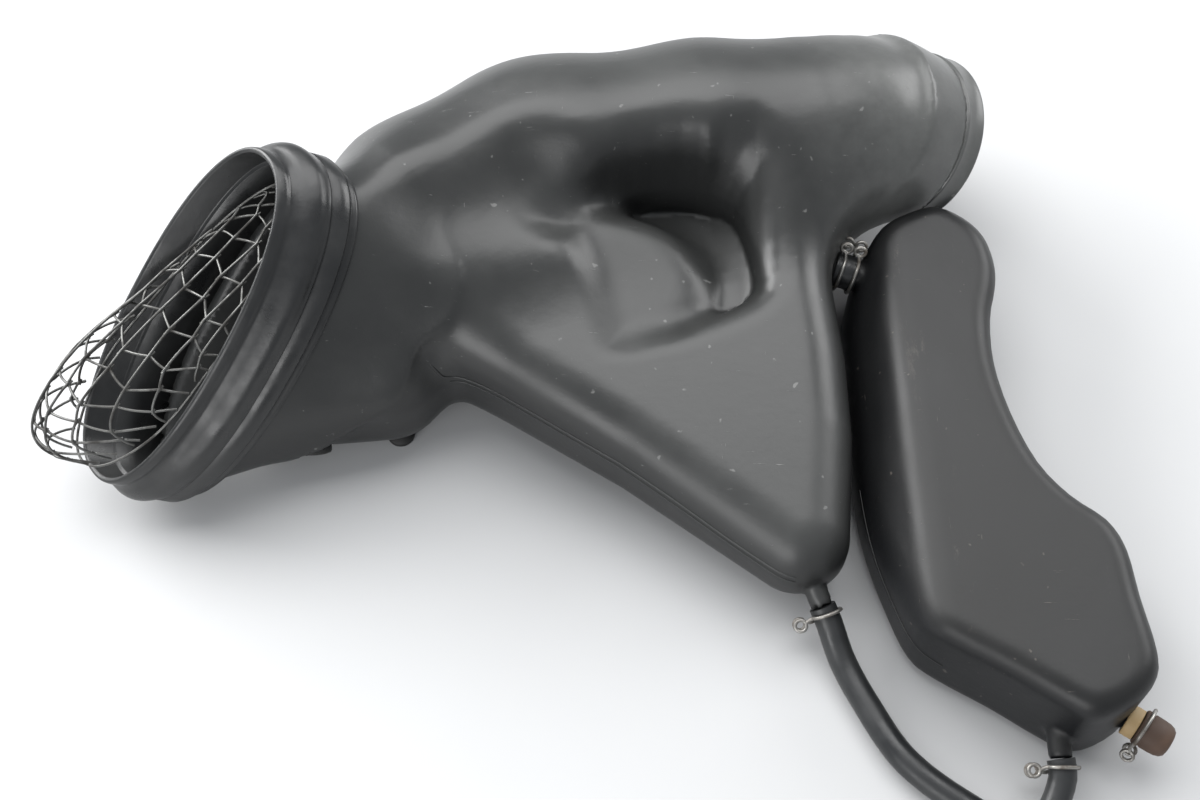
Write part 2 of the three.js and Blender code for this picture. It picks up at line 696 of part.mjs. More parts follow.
// Spring wire clip: one wire that runs from an eyelet, round the hose and out to an eyelet.
function buildClip(port, along, radius, side) {
  const centre = port.base.clone().addScaledVector(port.way, along);
  const out = side.clone().addScaledVector(port.way, -side.dot(port.way)).normalize();
  const across = port.way.clone().cross(out);
  const ringRadius = radius + wireRadius + gap;
  const eyeRadius = 2.2;
  const eyeTurns = [0, 45, 90, 135, 180, 225, 275].map(THREE.MathUtils.degToRad);
  const eye = (turn, hand) => [
    ringRadius + 5.2 - eyeRadius * Math.cos(turn),
    hand * (3.2 + eyeRadius * Math.sin(turn)),
  ];
  const flat = eyeTurns.map((turn) => eye(turn, 1)).reverse();
  for (let degrees = 12; degrees <= 348; degrees += 24) {
    const angle = THREE.MathUtils.degToRad(degrees);
    flat.push([ringRadius * Math.cos(angle), ringRadius * Math.sin(angle)]);
  }
  flat.push(...eyeTurns.map((turn) => eye(turn, -1)));
  const points = flat.map(([outward, sideways]) => (
    centre.clone().addScaledVector(out, outward).addScaledVector(across, sideways)
  ));
  return tubeAlong(new THREE.CatmullRomCurve3(points), wireRadius, 5, 44);
}

// ---------------------------------------------------------------- materials
function plastic(color, roughness) {
  return new THREE.MeshStandardMaterial({ color, roughness, metalness: 0 });
}

function steelWire() {
  return new THREE.MeshStandardMaterial({ color: 0x6d6a64, roughness: 0.45, metalness: 0.9 });
}

// ---------------------------------------------------------------- the assembly
const assembly = new THREE.Group();

function addSolid(name, body, material) {
  const mesh = new THREE.Mesh(geometryOf(body), material);
  mesh.name = name;
  mesh.position.copy(frameShift);
  assembly.add(mesh);
}

function addPiece(name, geometry, material) {
  addSolid(name, solidOf(geometry), material);
}

const down = new THREE.Vector3(-0.3, -0.4, -0.8);
for (const [name, body] of Object.entries(buildDuctShell())) {
  addSolid(name, body, plastic(0x26282a, 0.42));
}
addPiece('inlet_seal_ring', buildSealRing(), plastic(0x1c1d1e, 0.5));
addPiece('screen_mesh', buildScreen(), steelWire());
addPiece('mount_grommet', buildGrommet(), plastic(0x141414, 0.7));
addPiece('locating_foot', buildFoot(), plastic(0x121212, 0.75));
addPiece('link_hose', buildLinkHose(), plastic(0x161616, 0.6));
addPiece('link_clip_duct', buildClip(linkPort, 17.4, linkHoseRadius, new THREE.Vector3(0, 0.4, 1)), steelWire());
addPiece('link_clip_tank', buildClip(linkPort, 23.4, linkHoseRadius, new THREE.Vector3(0, 0.4, 1)), steelWire());
addPiece('tank_shell', buildTankShell(), plastic(0x202224, 0.45));
addPiece('drain_hose', buildDrainHose(), plastic(0x151516, 0.5));
addPiece('drain_clip_duct', buildClip(ductDrain, 13, drainHoseRadius, new THREE.Vector3(-1, 0, 0)), steelWire());
addPiece('drain_clip_tank', buildClip(tankDrain, 12, drainHoseRadius, new THREE.Vector3(-1, 0, 0)), steelWire());
addPiece('tank_drain_sleeve', buildDrainSleeve(), plastic(0xa08a5e, 0.7));
addPiece('drain_cap', buildDrainCap(), plastic(0x3a2a20, 0.8));
addPiece('drain_cap_clip', buildClip(capDrain, 12.5, 7.4, down), steelWire());

export default assembly;
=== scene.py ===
# Ram-air intake duct with its wire screen, side tank and drain hose, laid on a pale table.
import math

import bmesh
import bpy
import numpy as np
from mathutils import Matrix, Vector


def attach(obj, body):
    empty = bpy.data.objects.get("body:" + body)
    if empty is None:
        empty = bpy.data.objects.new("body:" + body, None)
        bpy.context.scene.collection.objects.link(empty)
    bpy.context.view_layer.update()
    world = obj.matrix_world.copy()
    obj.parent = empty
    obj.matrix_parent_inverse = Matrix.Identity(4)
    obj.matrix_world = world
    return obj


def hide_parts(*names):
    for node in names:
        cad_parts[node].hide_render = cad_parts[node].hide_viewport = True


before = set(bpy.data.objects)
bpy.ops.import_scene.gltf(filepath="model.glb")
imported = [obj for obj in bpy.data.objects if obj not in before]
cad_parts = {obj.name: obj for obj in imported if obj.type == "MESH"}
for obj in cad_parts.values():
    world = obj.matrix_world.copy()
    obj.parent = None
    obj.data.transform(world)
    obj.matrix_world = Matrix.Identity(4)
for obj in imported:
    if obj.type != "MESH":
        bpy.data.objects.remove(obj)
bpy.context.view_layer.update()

MM = 0.001
SHIFT = np.array([5.1, -6.0, 0.0])  # model frame to the row frame, mm
FINE = 2.0  # grid step of the blown shells, mm


# ------------------------------------------------------------------ camera
ELEVATION = math.radians(60)
DISTANCE = 0.700
TARGET_HEIGHT = 0.035
target = Vector((SHIFT[0] * MM, SHIFT[1] * MM, TARGET_HEIGHT))
camera_data = bpy.data.cameras.new("photo_camera")
camera_data.lens = 50
camera_data.sensor_width = 36
camera = bpy.data.objects.new("photo_camera", camera_data)
camera.location = target + Vector((0, -math.cos(ELEVATION), math.sin(ELEVATION))) * DISTANCE
camera.rotation_euler = (math.pi / 2 - ELEVATION, 0, 0)
bpy.context.scene.collection.objects.link(camera)
bpy.context.scene.camera = camera


# ------------------------------------------------------------------ small helpers
def unit(values):
    vector = np.asarray(values, float)
    return vector / np.linalg.norm(vector)


def link(obj):
    bpy.context.scene.collection.objects.link(obj)
    return obj


def finish_piece(obj, body, material, slot, *nodes):
    obj.data.materials.append(material)
    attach(obj, body)
    if nodes:
        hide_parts(*nodes)
    return obj


def mesh_piece(name, vertices, faces):
    """A mesh from model-frame vertices in mm."""
    mesh = bpy.data.meshes.new(name)
    mesh.from_pydata(((np.asarray(vertices, float) + SHIFT) * MM).tolist(), [], faces)
    mesh.update()
    mesh.polygons.foreach_set("use_smooth", [True] * len(mesh.polygons))
    return link(bpy.data.objects.new(name, mesh))


def frame_of(way):
    """Two unit vectors across a direction."""
    way = unit(way)
    helper = np.array([0.0, 0.0, 1.0]) if abs(way[2]) < 0.9 else np.array([1.0, 0.0, 0.0])
    u = unit(np.cross(helper, way))
    return u, np.cross(way, u)


def grid_faces(rows, columns, closed_rows):
    faces = []
    for i in range(rows if closed_rows else rows - 1):
        for j in range(columns):
            k = (j + 1) % columns
            n = (i + 1) % rows
            faces.append((i * columns + j, i * columns + k, n * columns + k, n * columns + j))
    return faces


def outward(obj):
    """Turns the faces so that they point out of the solid."""
    work = bmesh.new()
    work.from_mesh(obj.data)
    bmesh.ops.recalc_face_normals(work, faces=work.faces)
    work.to_mesh(obj.data)
    work.free()
    return obj


def turned(name, profile, base, way, sides=64, closed=True):
    """Turned solid: profile points are (radius, distance along the way)."""
    way = unit(way)
    u, v = frame_of(way)
    rows = []
    for radius, along in profile:
        centre = np.asarray(base) + way * along
        for j in range(sides):
            angle = 2 * math.pi * j / sides
            rows.append(centre + u * radius * math.cos(angle) + v * radius * math.sin(angle))
    return outward(mesh_piece(name, rows, grid_faces(len(profile), sides, closed)))


def wire(name, points, radius, resolution):
    """Round wire through model-frame points in mm."""
    curve = bpy.data.curves.new(name, "CURVE")
    curve.dimensions = "3D"
    curve.bevel_depth = radius * MM
    curve.bevel_resolution = resolution
    curve.use_fill_caps = True
    add_spline(curve, points)
    return link(bpy.data.objects.new(name, curve))


def add_spline(curve, points):
    spline = curve.splines.new("POLY")
    spline.points.add(len(points) - 1)
    for target_point, point in zip(spline.points, points):
        target_point.co = (*((np.asarray(point) + SHIFT) * MM), 1)


def catmull(points, count):
    """Points evenly spaced on a centripetal spline through the given points."""
    points = [np.asarray(p, float) for p in points]
    padded = [2 * points[0] - points[1], *points, 2 * points[-1] - points[-2]]
    fine = []
    for p0, p1, p2, p3 in zip(padded, padded[1:], padded[2:], padded[3:]):
        t0 = 0.0
        t1 = t0 + np.linalg.norm(p1 - p0) ** 0.5
        t2 = t1 + np.linalg.norm(p2 - p1) ** 0.5
        t3 = t2 + np.linalg.norm(p3 - p2) ** 0.5
        for t in np.linspace(t1, t2, 24, endpoint=False):
            a1 = (t1 - t) / (t1 - t0) * p0 + (t - t0) / (t1 - t0) * p1
            a2 = (t2 - t) / (t2 - t1) * p1 + (t - t1) / (t2 - t1) * p2
            a3 = (t3 - t) / (t3 - t2) * p2 + (t - t2) / (t3 - t2) * p3
            b1 = (t2 - t) / (t2 - t0) * a1 + (t - t0) / (t2 - t0) * a2
            b2 = (t3 - t) / (t3 - t1) * a2 + (t - t1) / (t3 - t1) * a3
            fine.append((t2 - t) / (t2 - t1) * b1 + (t - t1) / (t2 - t1) * b2)
    fine.append(points[-1])
    fine = np.array(fine)
    travelled = np.concatenate([[0], np.cumsum(np.linalg.norm(np.diff(fine, axis=0), axis=1))])
    at = np.linspace(0, travelled[-1], count)
    return np.stack([np.interp(at, travelled, fine[:, n]) for n in range(3)], axis=1)


# ------------------------------------------------------------------ ports of the shells
DUCT_SECTIONS = ("duct_neck", "duct_elbow", "duct_middle_upper", "duct_middle_lower", "duct_shoulder")
DUCT_DRAIN = (np.array([86.0, -79.0, 23.0]), unit([0.38, -0.80, -0.47]))
TANK_DRAIN = (np.array([177.0, -141.0, 19.0]), unit([0.05, -0.93, -0.30]))
CAP_DRAIN = (np.array([200.0, -131.0, 20.0]), unit([0.82, -0.57, 0.0]))
LINK_PORT = (np.array([88.0, 70.0, 38.0]), unit([38, -10, -5]))
GROMMET_SEAT = (np.array([-124.0, -11.0, 12.0]), unit([0.0, -0.78, -0.62]))
FOOT_SEAT = (np.array([-87.0, 2.0, 0.0]), np.array([0.0, 0.0, 1.0]))
OUTLET = (np.array([147.0, 135.0, 39.0]), unit([0.80, 0.17, -0.57]))


# ------------------------------------------------------------------ drain hose
HOSE_RADIUS = 5.5
hose_start = DUCT_DRAIN[0] + DUCT_DRAIN[1] * 9.3
hose_end = TANK_DRAIN[0] + TANK_DRAIN[1] * 8.3
hose_route = catmull(
    [
        hose_start,
        hose_start + DUCT_DRAIN[1] * 7,
        (97.5, -106, 8.6),
        (106, -124, 7.2),
        (119, -146, 7.2),
        (139, -163, 7.2),
        (156, -172, 7.2),
        (170, -170, 8.2),
        hose_end + TANK_DRAIN[1] * 7,
        hose_end,
    ],
    44,
)


# ------------------------------------------------------------------ procedural materials
class Nodes:
    """Short way to wire one material."""

    def __init__(self, name):
        self.material = bpy.data.materials.new(name)
        self.material.use_nodes = True
        self.tree = self.material.node_tree
        self.shader = self.tree.nodes["Principled BSDF"]
        coordinates = self.tree.nodes.new("ShaderNodeTexCoord")
        self.object = coordinates.outputs["Object"]
        self.normal = coordinates.outputs["Normal"]

    def new(self, kind, inputs=None, **settings):
        node = self.tree.nodes.new(kind)
        for key, value in settings.items():
            setattr(node, key, value)
        for key, value in (inputs or {}).items():
            if isinstance(value, bpy.types.NodeSocket):
                self.tree.links.new(value, node.inputs[key])
            else:
                node.inputs[key].default_value = value
        return node

    def noise(self, scale, detail=4, roughness=0.55, stretch=None):
        vector = self.object
        if stretch:
            vector = self.new("ShaderNodeMapping", {"Vector": self.object, "Scale": stretch[0],
                                                    "Rotation": stretch[1]}).outputs[0]
        return self.new("ShaderNodeTexNoise", {"Vector": vector, "Scale": scale, "Detail": detail,
                                               "Roughness": roughness}).outputs["Fac"]

    def band(self, value, low, high, to_low=0.0, to_high=1.0):
        return self.new("ShaderNodeMapRange", {"Value": value, "From Min": low, "From Max": high,
                                               "To Min": to_low, "To Max": to_high},
                        interpolation_type="SMOOTHSTEP").outputs[0]

    def math(self, operation, a, b):
        return self.new("ShaderNodeMath", {0: a, 1: b}, operation=operation).outputs[0]

    def mix(self, factor, a, b):
        node = self.new("ShaderNodeMix", data_type="RGBA")
        for key, value in ((0, factor), (6, a), (7, b)):
            if isinstance(value, bpy.types.NodeSocket):
                self.tree.links.new(value, node.inputs[key])
            else:
                node.inputs[key].default_value = value if key == 0 else (*value, 1)
        return node.outputs[2]

    def set(self, name, value):
        if isinstance(value, bpy.types.NodeSocket):
            self.tree.links.new(value, self.shader.inputs[name])
        else:
            self.shader.inputs[name].default_value = value

    def bump(self, height, strength, distance=0.001, below=None):
        inputs = {"Height": height, "Strength": strength, "Distance": distance}
        if below is not None:
            inputs["Normal"] = below
        return self.new("ShaderNodeBump", inputs).outputs[0]


def blown_plastic(name, base, dusty, scuffed, dust_level, roughness,
                  dusty_end=None, worn_line=None, gloss=0.5):
    """Aged polyethylene; dusty_end and worn_line are places on it in metres."""
    n = Nodes(name)
    cloud = n.noise(9, 5, 0.6)
    grain = n.noise(420, 3, 0.6)
    scratch_a = n.noise(60, 4, 0.7, ((1, 14, 4), (0.2, 0.1, 0.9)))
    scratch_b = n.noise(55, 4, 0.7, ((16, 1.2, 5), (0.0, 0.3, -0.5)))
    lines = n.math("MAXIMUM", n.band(scratch_a, 0.68, 0.75), n.band(scratch_b, 0.70, 0.77))
    facing_up = n.new("ShaderNodeSeparateXYZ", {0: n.normal}).outputs[2]
    dust = n.math("MULTIPLY", n.band(cloud, 0.30, 0.72, 0.35, 1.0), n.band(facing_up, 0.1, 1.0))
    dust = n.math("MULTIPLY", dust, dust_level)
    if dusty_end:
        place = n.new("ShaderNodeCombineXYZ", dict(enumerate(dusty_end))).outputs[0]
        away = n.new("ShaderNodeVectorMath", {0: n.object, 1: place}, operation="DISTANCE").outputs["Value"]
        streaks = n.band(n.noise(24, 5, 0.7), 0.25, 0.7, 0.55, 1.0)
        dust = n.math("MAXIMUM", dust, n.math("MULTIPLY", streaks, n.band(away, 0.045, 0.105, 0.95, 0.0)))
    color = n.mix(dust, base, dusty)
    color = n.mix(n.math("MULTIPLY", lines, 0.45), color, scuffed)
    specks = n.band(n.noise(230, 2, 0.4), 0.73, 0.78)
    color = n.mix(n.math("MULTIPLY", specks, 0.3), color, scuffed)
    if worn_line:
        (x0, y0), (x1, y1), width = worn_line
        parts = n.new("ShaderNodeSeparateXYZ", {0: n.object}).outputs
        slope = (x1 - x0) / (y1 - y0)
        off = n.math("SUBTRACT", parts[0], n.math("MULTIPLY", parts[1], slope))
        off = n.math("SUBTRACT", off, x0 - slope * y0)
        near = n.band(n.math("ABSOLUTE", off, 0.0), 0.1 * width, width, 1.0, 0.0)
        patch = n.band(n.noise(95, 6, 0.75, ((1, 0.35, 1), (0, 0, 0.1))), 0.56, 0.72)
        worn = n.math("MULTIPLY", near, patch)
        color = n.mix(n.math("MULTIPLY", worn, 0.32), color, scuffed)
        lines = n.math("MAXIMUM", lines, n.math("MULTIPLY", worn, 0.6))
    n.set("Base Color", color)
    rough = n.band(cloud, 0.3, 0.75, roughness, roughness + 0.16)
    rough = n.math("ADD", rough, n.math("MULTIPLY", lines, 0.14))
    n.set("Roughness", rough)
    n.set("Specular IOR Level", gloss)
    fine = n.bump(grain, 0.12, 0.0004)
    n.set("Normal", n.bump(lines, 0.3, 0.0003, n.bump(n.noise(38, 3), 0.25, 0.0008, fine)))
    return n.material


def rubber(name, base, worn, roughness, scale=150, dust_level=0.4):
    n = Nodes(name)
    cloud = n.noise(22, 4)
    color = n.mix(n.math("MULTIPLY", n.band(cloud, 0.4, 0.75), dust_level), base, worn)
    n.set("Base Color", color)
    n.set("Roughness", n.band(n.noise(70, 3), 0.3, 0.7, roughness - 0.08, roughness + 0.12))
    n.set("Normal", n.bump(n.noise(scale * 4, 3), 0.15, 0.0004, n.bump(cloud, 0.1, 0.001)))
    return n.material


def steel(name, base, dirt, roughness):
    n = Nodes(name)
    grime = n.band(n.noise(130, 4), 0.42, 0.68)
    n.set("Base Color", n.mix(grime, base, dirt))
    n.set("Metallic", n.band(grime, 0.0, 1.0, 0.85, 0.25))
    n.set("Roughness", n.band(grime, 0.0, 1.0, roughness, roughness + 0.3))
    n.set("Normal", n.bump(n.noise(900, 2), 0.2, 0.0003))
    return n.material


duct_plastic = blown_plastic(
    "duct_plastic",
    base=(0.012, 0.0125, 0.0125),
    dusty=(0.095, 0.097, 0.094),
    scuffed=(0.30, 0.30, 0.29),
    dust_level=0.36,
    roughness=0.29,
    dusty_end=(0.150, 0.125, 0.045),
)
tank_plastic = blown_plastic(
    "tank_plastic",
    base=(0.006, 0.0065, 0.0075),
    dusty=(0.036, 0.035, 0.032),
    scuffed=(0.18, 0.16, 0.14),
    dust_level=0.30,
    roughness=0.33,
    worn_line=((0.138, 0.0), (0.146, -0.10), 0.007),
    gloss=0.34,
)
seal_rubber = rubber("seal_rubber", (0.012, 0.0125, 0.013), (0.040, 0.041, 0.040), 0.34, 90)
hose_rubber = rubber("hose_rubber", (0.014, 0.015, 0.016), (0.045, 0.046, 0.046), 0.36, 120)
dark_rubber = rubber("dark_rubber", (0.010, 0.010, 0.010), (0.035, 0.034, 0.032), 0.6, 120)
sleeve_rubber = rubber("sleeve_rubber", (0.36, 0.25, 0.12), (0.50, 0.42, 0.28), 0.6, 150, 0.6)
cap_rubber = rubber("cap_rubber", (0.050, 0.028, 0.018), (0.17, 0.10, 0.065), 0.62, 120, 0.9)
screen_steel = steel("screen_steel", (0.13, 0.13, 0.125), (0.035, 0.033, 0.030), 0.42)
clip_steel = steel("clip_steel", (0.34, 0.33, 0.31), (0.09, 0.075, 0.06), 0.36)


# ------------------------------------------------------------------ drain hose tube
hose = wire("drain_hose_rubber", hose_route, HOSE_RADIUS, resolution=7)
finish_piece(hose, "duct", hose_rubber, "hose_rubber", "drain_hose")


# ------------------------------------------------------------------ distance fields, mm
def blend_union(a, b, width):
    h = np.maximum(width - np.abs(a - b), 0) / width
    return np.minimum(a, b) - h * h * width * 0.25


def blend_common(a, b, width):
    return -blend_union(-a, -b, width)


def rounded(points, each=4):
    """Closed smooth outline through the points."""
    p1 = np.asarray(points, float)
    p0, p2, p3 = np.roll(p1, 1, axis=0), np.roll(p1, -1, axis=0), np.roll(p1, -2, axis=0)
    fine = []
    for t in np.arange(each) / each:
        fine.append(0.5 * (2 * p1 + (p2 - p0) * t + (2 * p0 - 5 * p1 + 4 * p2 - p3) * t ** 2
                           + (3 * p1 - p0 - 3 * p2 + p3) * t ** 3))
    return np.stack(fine, axis=1).reshape(-1, 2)


def outline_distance(x, y, points):
    nearest = np.full(np.broadcast(x, y).shape, np.inf)
    inside = np.zeros(nearest.shape, bool)
    for (ax, ay), (bx, by) in zip(points, np.roll(points, 1, axis=0)):
        ex, ey = bx - ax, by - ay
        wx, wy = x - ax, y - ay
        along = np.clip((wx * ex + wy * ey) / (ex * ex + ey * ey), 0, 1)
        nearest = np.minimum(nearest, np.hypot(wx - ex * along, wy - ey * along))
        if ey != 0:
            inside ^= ((ay > y) != (by > y)) & (wx < ex * wy / ey)
    return np.where(inside, -nearest, nearest)


def slab_distance(plan, z, low, high, rounding):
    qx = plan + rounding
    qz = np.abs(z - (low + high) / 2) - (high - low) / 2 + rounding
    return np.minimum(np.maximum(qx, qz), 0) + np.hypot(np.maximum(qx, 0), np.maximum(qz, 0)) - rounding


def chain_distance(x, y, z, balls, width):
    result = None
    for (ax, ay, az, ar), (bx, by, bz, br) in zip(balls, balls[1:]):
        ex, ey, ez = bx - ax, by - ay, bz - az
        wx, wy, wz = x - ax, y - ay, z - az
        along = np.clip((wx * ex + wy * ey + wz * ez) / (ex * ex + ey * ey + ez * ez), 0, 1)
        reach = np.sqrt((wx - ex * along) ** 2 + (wy - ey * along) ** 2 + (wz - ez * along) ** 2)
        distance = reach - ar - (br - ar) * along
        result = distance if result is None else blend_union(result, distance, width)
    return result


INLET_CENTRE = np.array([-171.7, 16.4, 73.2])
INLET_NORMAL = unit([-0.60, -0.28, 0.75])
INLET_AXIS = unit([0.852, 0.086, -0.517])
INLET_LONG = np.array([0.518, 0.579, 0.630])
INLET_LONG = unit(INLET_LONG - INLET_NORMAL * (INLET_LONG @ INLET_NORMAL))
INLET_SHORT = np.cross(INLET_NORMAL, INLET_LONG)
HALF_LONG = 78.0
HALF_SHORT = 34.0
OVAL_POWER = 2.25
SEAL_LENGTH = 34.0


def inlet_coordinates(x, y, z):
    dx, dy, dz = x - INLET_CENTRE[0], y - INLET_CENTRE[1], z - INLET_CENTRE[2]
    depth = dx * INLET_NORMAL[0] + dy * INLET_NORMAL[1] + dz * INLET_NORMAL[2]
    depth = depth / (INLET_AXIS @ INLET_NORMAL)
    dx, dy, dz = dx - depth * INLET_AXIS[0], dy - depth * INLET_AXIS[1], dz - depth * INLET_AXIS[2]
    along = dx * INLET_LONG[0] + dy * INLET_LONG[1] + dz * INLET_LONG[2]
    across = dx * INLET_SHORT[0] + dy * INLET_SHORT[1] + dz * INLET_SHORT[2]
    return depth, along, across


def inlet_point(depth, along, across):
    return INLET_CENTRE + depth * INLET_AXIS + along * INLET_LONG + across * INLET_SHORT


def oval_distance(along, across, half_long, half_short):
    total = np.abs(along / half_long) ** OVAL_POWER + np.abs(across / half_short) ** OVAL_POWER
    total = total ** (1 / OVAL_POWER)
    return (total - 1) * half_short * 0.9


LOBE = np.array([[80, -61], [83, -20], [82, 10], [76, 66], [60, 112],
                 [-40, 112], [-78, 76], [-64, 36], [-30, 16], [20, -16]], float)
TUBE = [(-106, 46, 45, 34), (-74, 77, 51, 42.5), (-20, 105, 52, 45.5), (45, 117, 53, 44.5),
        (98, 124, 53, 40.5), (119, 129, 56, 37)]
AIRWAY = [(-106, 46, 48, 26), (-74, 78, 50, 28), (-20, 116, 46, 20), (45, 124, 46, 22), (98, 126, 52, 28),
          (119, 129, 56, 30)]
BELLY = np.array([[-134, 14], [-92, 18], [-80, 46], [-126, 52]], float)
POCKET = rounded([[-20, 64], [-6, 79], [13, 88], [34, 91], [49, 88], [59, 80], [64, 66], [67, 50], [66, 39],
                  [56, 30], [37, 20], [20, 15], [5, 13], [1, 27], [-4, 44], [-12, 57]], 2)
PLATFORM = rounded([[-40, 80], [-10, 81], [12, 78], [29, 72], [40, 63], [47, 52], [49, 42], [46, 28],
                    [30, 6], [0, -4], [-40, 20]], 2)


def port_distance(x, y, z, port, radius, start, end):
    base, way = port
    dx, dy, dz = x - base[0], y - base[1], z - base[2]
    along = dx * way[0] + dy * way[1] + dz * way[2]
    reach = np.sqrt(np.maximum(dx * dx + dy * dy + dz * dz - along * along, 0))
    return np.maximum(reach - radius, np.maximum(start - along, along - end)), along, reach


def duct_outer(x, y, z):
    top = np.minimum(50 + 0.155 * (y + 62) + 0.03 * (82 - x), 82)
    lobe = slab_distance(outline_distance(x, y, LOBE) - 21, z, 5, top, 20)
    body = blend_union(lobe, chain_distance(x, y, z, TUBE, 22), 34)
    depth, along, across = inlet_coordinates(x, y, z)
    taper = np.clip(depth - SEAL_LENGTH + 4, 0, 60)
    neck = oval_distance(along - 0.35 * taper, across, HALF_LONG - 2 - 0.4 * taper, HALF_SHORT - 1.5)
    neck = np.maximum(neck, np.maximum(SEAL_LENGTH - 10 - depth, depth - 66))
    body = blend_union(body, neck, 18)
    belly = slab_distance(outline_distance(x, y, BELLY) - 27, z, 0, 56, 22)
    body = blend_union(body, belly, 12)
    _, outward_from_rim, radius = port_distance(x, y, z, OUTLET, 38, -32, 0)
    collar = np.maximum(radius - 37.2, np.maximum(outward_from_rim + 9, -outward_from_rim - 32))
    body = blend_union(body, collar, 12)
    body = blend_common(body, 0.4 - z, 6)
    # the walls of the pocket lean outward, most of all on its right side
    lean = 0.16 * np.clip(z - 62, 0, 40) + 0.30 * np.clip(z - 56, 0, 40) * np.clip((x - 46) / 20, 0, 1)
    floor = 46 + 0.45 * np.clip(x - 48, 0, 18)
    well = np.maximum(outline_distance(x, y, POCKET) - lean + 2, floor - z)
    platform_top = 71 + 0.12 * (y - 60) - 0.19 * (x + 10)
    platform_edge = outline_distance(x, y, PLATFORM) - 2 + 0.25 * np.clip(z - 52, -10, 20)
    platform = blend_common(platform_edge, z - platform_top, 18)
    body = blend_common(body, -blend_common(well, -platform, 12), 14)
    valley = chain_distance(x, y, z, [(-28, 66, 103, 19), (-58, 50, 110, 18)], 1)
    return blend_common(body, -valley, 22)


def duct_shell(x, y, z):
    outer = duct_outer(x, y, z)
    depth, along, across = inlet_coordinates(x, y, z)
    _, from_rim, radius = port_distance(x, y, z, OUTLET, 38, -32, 0)
    outer = np.maximum(outer, np.maximum(SEAL_LENGTH - 3 - depth, from_rim + 10.5))
    taper = np.clip(depth - SEAL_LENGTH + 4, 0, 60)
    neck_hole = oval_distance(along - 0.35 * taper, across, 69 - 0.5 * taper, 26.5 - 0.15 * taper)
    neck_hole = np.maximum(neck_hole, np.maximum(depth - 54, 26 - depth))
    outlet_hole = np.maximum(radius - 32.5, np.maximum(-28 - from_rim, from_rim - 5))
    hollow = blend_union(np.minimum(neck_hole, outlet_hole), chain_distance(x, y, z, AIRWAY, 8), 5)
    shell = np.maximum(outer, -hollow)
    for port, size, end in ((DUCT_DRAIN, 4.6, 9), (LINK_PORT, 6, 19.5)):
        shell = np.minimum(shell, port_distance(x, y, z, port, size, -3, end)[0])
    base, way = GROMMET_SEAT
    recess = port_distance(x, y, z, GROMMET_SEAT, 9.4, -2.4, 14)[0]
    return np.maximum(shell, -recess)


TANK = rounded([[138, 90], [149, 92], [160, 86], [168, 76], [171, 62], [170, 50], [166, 34], [165, 12],
                [169, -12], [177, -35], [188, -50], [201, -61], [207, -74], [209, -94], [212, -118],
                [208, -130], [197, -139], [184, -143], [172, -137], [154, -125], [134, -113], [124, -104],
                [117, -86], [110, -60],
                [107, -34], [106, 0], [107, 44], [113, 68], [124, 82]], 3)
BEVEL = unit([-0.82, -0.02, 0.57])


def tank_solid(x, y, z):
    slab = slab_distance(outline_distance(x, y, TANK), z, 0, 52, 9)
    bevel = (x - 125) * BEVEL[0] + y * BEVEL[1] + (z - 52) * BEVEL[2]
    tank = blend_common(slab, bevel, 7)
    tank = blend_union(tank, port_distance(x, y, z, TANK_DRAIN, 4.6, -4, 8)[0], 2)
    tank = blend_union(tank, port_distance(x, y, z, CAP_DRAIN, 4, -4, 17)[0], 1.5)
    return blend_union(tank, port_distance(x, y, z, LINK_PORT, 6, 21.5, 36)[0], 2)


# ------------------------------------------------------------------ meshes from fields
def surface_nets(field, low, high, cell):
    """Vertices and quads of the zero surface of a field, one vertex in each crossed cell."""
    axes = [np.arange(a, b + cell, cell) for a, b in zip(low, high)]
    values = field(axes[0][:, None, None], axes[1][None, :, None], axes[2][None, None, :])
    shape = np.array(values.shape) - 1
    total = np.zeros((*shape, 3))
    count = np.zeros(shape)
    for axis in range(3):
        for b in (0, 1):
            for c in (0, 1):
                offset = [b, c]
                offset.insert(axis, 0)
                first = tuple(slice(o, o + s) for o, s in zip(offset, shape))
                offset[axis] = 1
                second = tuple(slice(o, o + s) for o, s in zip(offset, shape))
                va, vb = values[first], values[second]
                crossed = (va < 0) != (vb < 0)
                share = np.where(crossed, va / np.where(crossed, va - vb, 1), 0)
                offset[axis] = 0
                for n in range(3):
                    total[..., n] += crossed * (offset[n] if n != axis else 0) + (share if n == axis else 0)
                count += crossed
    active = count > 0
    number = np.full(shape, -1)
    number[active] = np.arange(active.sum())
    cells = np.argwhere(active)
    vertices = np.array(low) + (cells + total[active] / count[active][:, None]) * cell
    quads = []
    for axis in range(3):
        step = [0, 0, 0]
        step[axis] = 1
        first = tuple(slice(0, s - d) for s, d in zip(values.shape, step))
        second = tuple(slice(d, s) for s, d in zip(values.shape, step))
        a_in, b_in = values[first] < 0, values[second] < 0
        edges = np.argwhere(a_in != b_in)
        u, v = np.zeros(3, int), np.zeros(3, int)
        u[(axis + 1) % 3] = 1
        v[(axis + 2) % 3] = 1
        edges = edges[np.all((edges >= u + v) & (edges < shape), axis=1)]
        ring = [number[tuple((edges - d).T)] for d in (0 * u, u, u + v, v)]
        quad = np.stack(ring, axis=1)
        flip = ~a_in[tuple(edges.T)]
        quad[flip] = quad[flip][:, ::-1]
        quads.append(quad)
    quads = np.concatenate(quads)
    return vertices, quads[np.all(quads >= 0, axis=1)]


